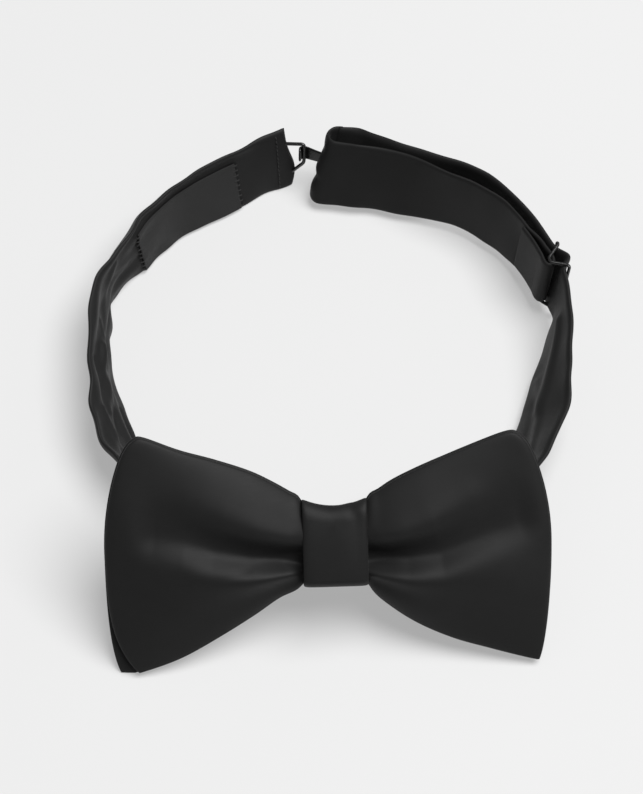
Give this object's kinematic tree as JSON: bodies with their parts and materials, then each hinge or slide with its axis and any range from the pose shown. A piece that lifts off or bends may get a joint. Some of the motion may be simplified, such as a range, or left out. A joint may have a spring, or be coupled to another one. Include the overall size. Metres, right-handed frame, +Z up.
{
  "type": "bow tie",
  "caption": "Pre-tied satin bow tie: a layered bow held by a wrapped knot on an adjustable neck band with a three-bar slider and a hook and wire eye closure.",
  "frame": {"origin": "under the middle of the bounding box, on the surface the tie stands on", "axes": "+Y from the bow to the closure at the back of the neck, +X to the side of the slider, +Z up along the band's width"},
  "size_m": [0.1301, 0.1642, 0.0486],
  "materials": {
    "satin": "black silk satin, soft low sheen, fine warp-faced weave",
    "interlining": "undyed woven interlining, matte",
    "thread": "black sewing thread",
    "label": "blank black woven label, matte, fine crosswise rib",
    "black_metal": "black enamelled steel, worn to a dull gloss at the edges"
  },
  "bodies": {
    "root": {"front_bow_cover": "satin", "rear_bow_cover": "satin", "knot_wrap": "satin", "band_centre": "satin", "left_side_band": "satin", "right_band": "satin", "return_band": "satin", "front_bow_interlining": "interlining", "rear_bow_interlining": "interlining", "knot_interlining": "interlining", "left_side_interlining": "interlining", "right_interlining": "interlining", "knot_seam_thread": "thread", "pinch_thread": "thread"},
    "left_band": {"left_end_band": "satin", "left_end_interlining": "interlining", "label": "label", "label_stitches_closure_end": "thread", "label_stitches_bow_end": "thread", "eye": "black_metal", "eye_stitches": "thread"},
    "slider": {"slider_frame": "black_metal", "tail_loop": "satin", "tail_stitches": "thread"},
    "hook": {"hook": "black_metal"}
  },
  "joints": [
    {"name": "left_fold", "type": "hinge", "parent": "root", "child": "left_band", "pos_m": [-0.05978, 0.03612, 0.01], "axis": [0, 0, -1], "range_deg": [0, 75]},
    {"name": "slider_travel", "type": "hinge", "parent": "root", "child": "slider", "pos_m": [-0.002, 0.0137, 0.01], "axis": [0, 0, 1], "range_deg": [0, 20], "deforming": ["return_band"]},
    {"name": "hook_swing", "type": "hinge", "parent": "root", "child": "hook", "pos_m": [0.00077, 0.07465, 0.01485], "axis": [-0.017, -0.3742, -0.9272], "range_deg": [0, 30]}
  ]
}
